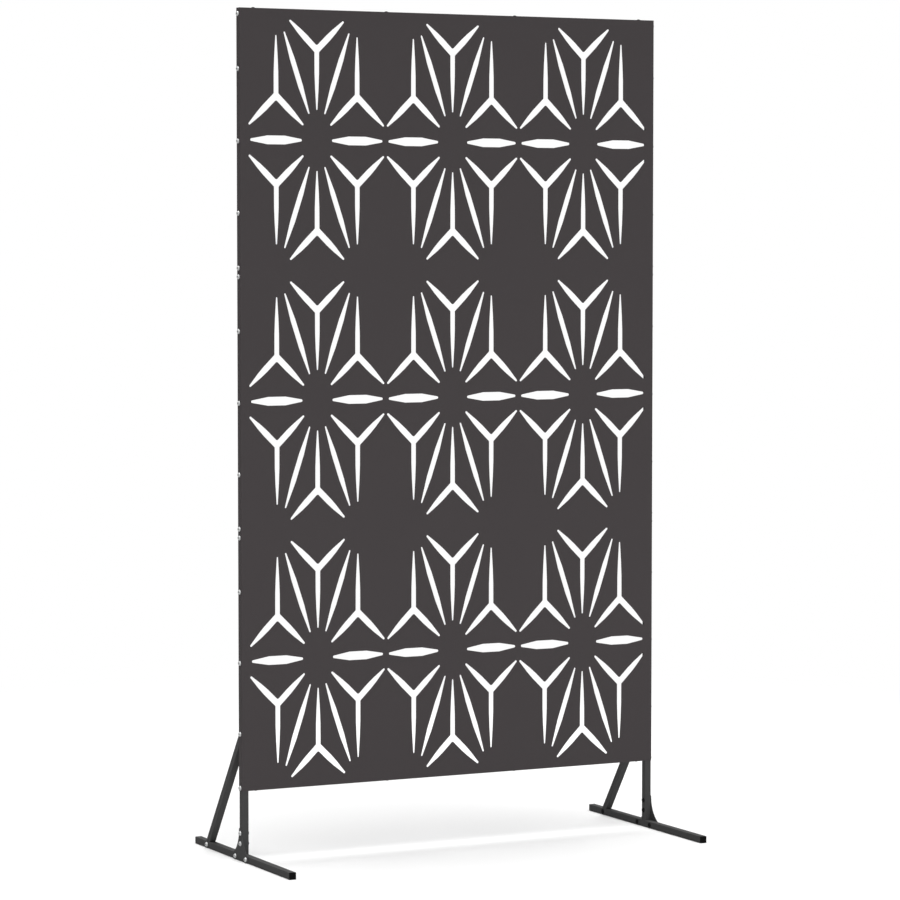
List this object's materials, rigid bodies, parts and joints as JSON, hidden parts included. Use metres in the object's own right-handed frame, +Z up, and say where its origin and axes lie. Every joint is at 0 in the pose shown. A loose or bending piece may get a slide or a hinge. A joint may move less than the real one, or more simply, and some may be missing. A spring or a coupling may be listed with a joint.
{
  "type": "privacy screen",
  "caption": "Free-standing metal privacy screen: stacked folded sheet panels with a stretched hemp-leaf cut-out, bolted to square-tube posts on braced feet.",
  "frame": {"origin": "on the floor, midway between the feet and midway along them", "axes": "+Z up, X along the width of the screen, front of the panels towards -Y, braces towards +Y"},
  "size_m": [1.0074, 0.5, 1.802],
  "materials": {
    "panel_coat": "dark grey powder coat, fine grain, matt",
    "frame_coat": "dark grey powder coat, fine grain, matt",
    "zinc_steel": "bright zinc plate",
    "black_steel": "black oxide",
    "black_plastic": "black moulded plastic, matt"
  },
  "bodies": {
    "root": {"brace_bolt_left": "zinc_steel", "brace_bolt_right": "zinc_steel", "brace_left": "frame_coat", "brace_nut_left": "black_steel", "brace_nut_right": "black_steel", "brace_right": "frame_coat", "brace_tongues_left": "frame_coat", "brace_tongues_right": "frame_coat", "flange_plugs_bottom": "black_plastic", "flange_plugs_top": "black_plastic", "foot_cap_front_left": "black_plastic", "foot_cap_front_right": "black_plastic", "foot_cap_rear_left": "black_plastic", "foot_cap_rear_right": "black_plastic", "foot_left": "frame_coat", "foot_right": "frame_coat", "gusset_bolts_left": "zinc_steel", "gusset_bolts_right": "zinc_steel", "gusset_left": "frame_coat", "gusset_nuts_left": "black_steel", "gusset_nuts_right": "black_steel", "gusset_right": "frame_coat", "panel_1": "panel_coat", "panel_2": "panel_coat", "panel_3": "panel_coat", "panel_bolts_left": "zinc_steel", "panel_bolts_right": "zinc_steel", "panel_nuts_left": "black_steel", "panel_nuts_right": "black_steel", "post_cap_left": "black_plastic", "post_cap_right": "black_plastic", "post_left": "frame_coat", "post_right": "frame_coat", "seam_bolts_1": "zinc_steel", "seam_bolts_2": "zinc_steel", "seam_nuts_1": "black_steel", "seam_nuts_2": "black_steel"}
  },
  "joints": []
}
